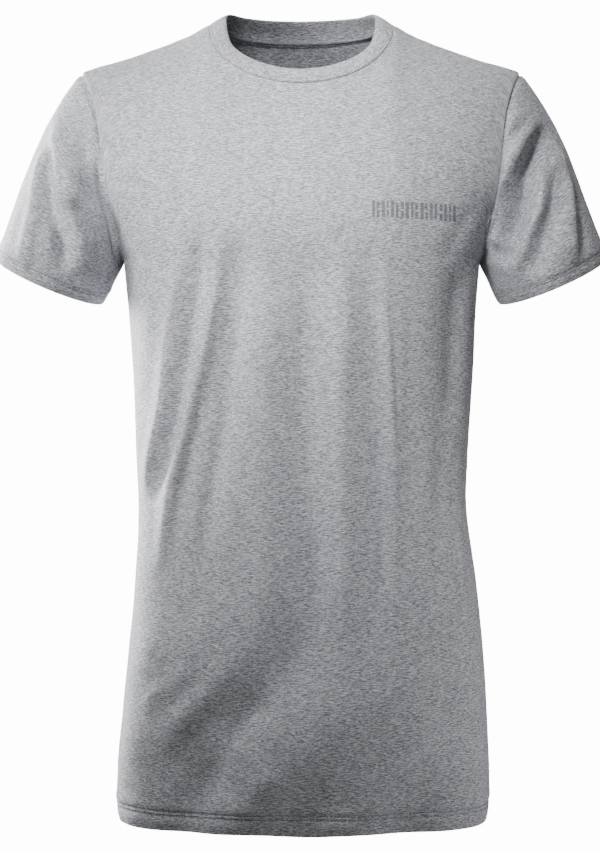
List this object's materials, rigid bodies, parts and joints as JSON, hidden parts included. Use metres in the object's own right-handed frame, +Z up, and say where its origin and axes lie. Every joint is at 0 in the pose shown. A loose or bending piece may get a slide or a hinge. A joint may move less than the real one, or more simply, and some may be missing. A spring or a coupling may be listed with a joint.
{
  "type": "crew neck t-shirt",
  "caption": "Short-sleeved crew neck T-shirt in thin jersey, filled out as when worn: a hollow, open garment with a ribbed neckband, set-in sleeves and turned-up hems.",
  "frame": {"origin": "midway between the two high shoulder points, where the shoulder seams meet the neck seam; the wearer's shoulders carry the garment there", "axes": "+Z up from hem to neck, -Y the way the front faces, +X towards the wearer's left sleeve"},
  "size_m": [0.572, 0.235, 0.75],
  "materials": {
    "jersey": "heather grey single jersey, matt, fine horizontal marl",
    "rib": "heather grey fine rib, matt",
    "tape": "heather grey jersey tape, matt"
  },
  "bodies": {
    "root": {"front": "jersey", "back": "jersey", "sleeve_left": "jersey", "sleeve_right": "jersey", "neckband": "rib", "neck_tape": "tape"}
  },
  "joints": []
}
